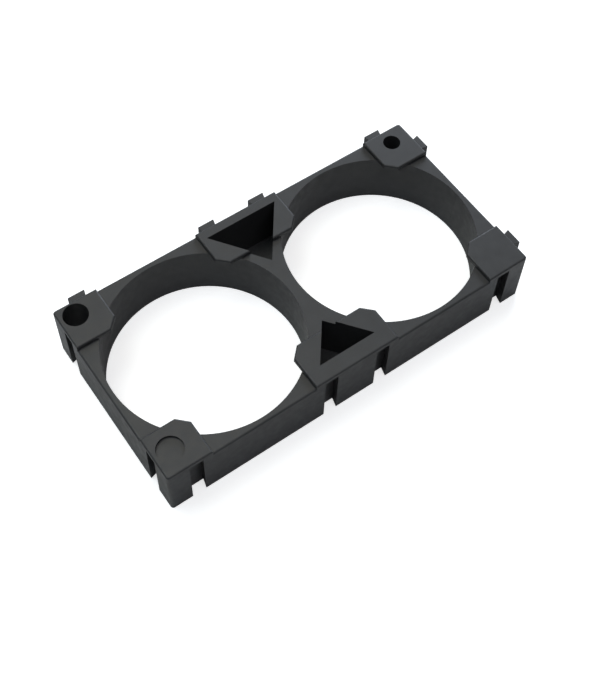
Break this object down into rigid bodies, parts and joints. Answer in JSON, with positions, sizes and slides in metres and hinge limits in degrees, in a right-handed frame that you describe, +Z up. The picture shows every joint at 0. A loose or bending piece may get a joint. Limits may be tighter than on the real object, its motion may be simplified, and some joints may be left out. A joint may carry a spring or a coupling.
{
  "type": "battery cell holder bracket",
  "caption": "Moulded rectangular bracket that holds round battery cells side by side in bores, with thin lips that stop the cell ends and dovetails that join it to more brackets.",
  "frame": {"origin": "middle of the flat base of the frame, without the dovetail tabs, on the side where the cells enter", "axes": "+X along the row of cells, +Y towards the long side with the tabs, +Z up through the cells towards the lips"},
  "size_m": [0.0705, 0.0359, 0.0108],
  "materials": {
    "black_plastic": "satin moulded black ABS"
  },
  "bodies": {
    "root": {"cell_holder_bracket": "black_plastic"}
  },
  "joints": []
}
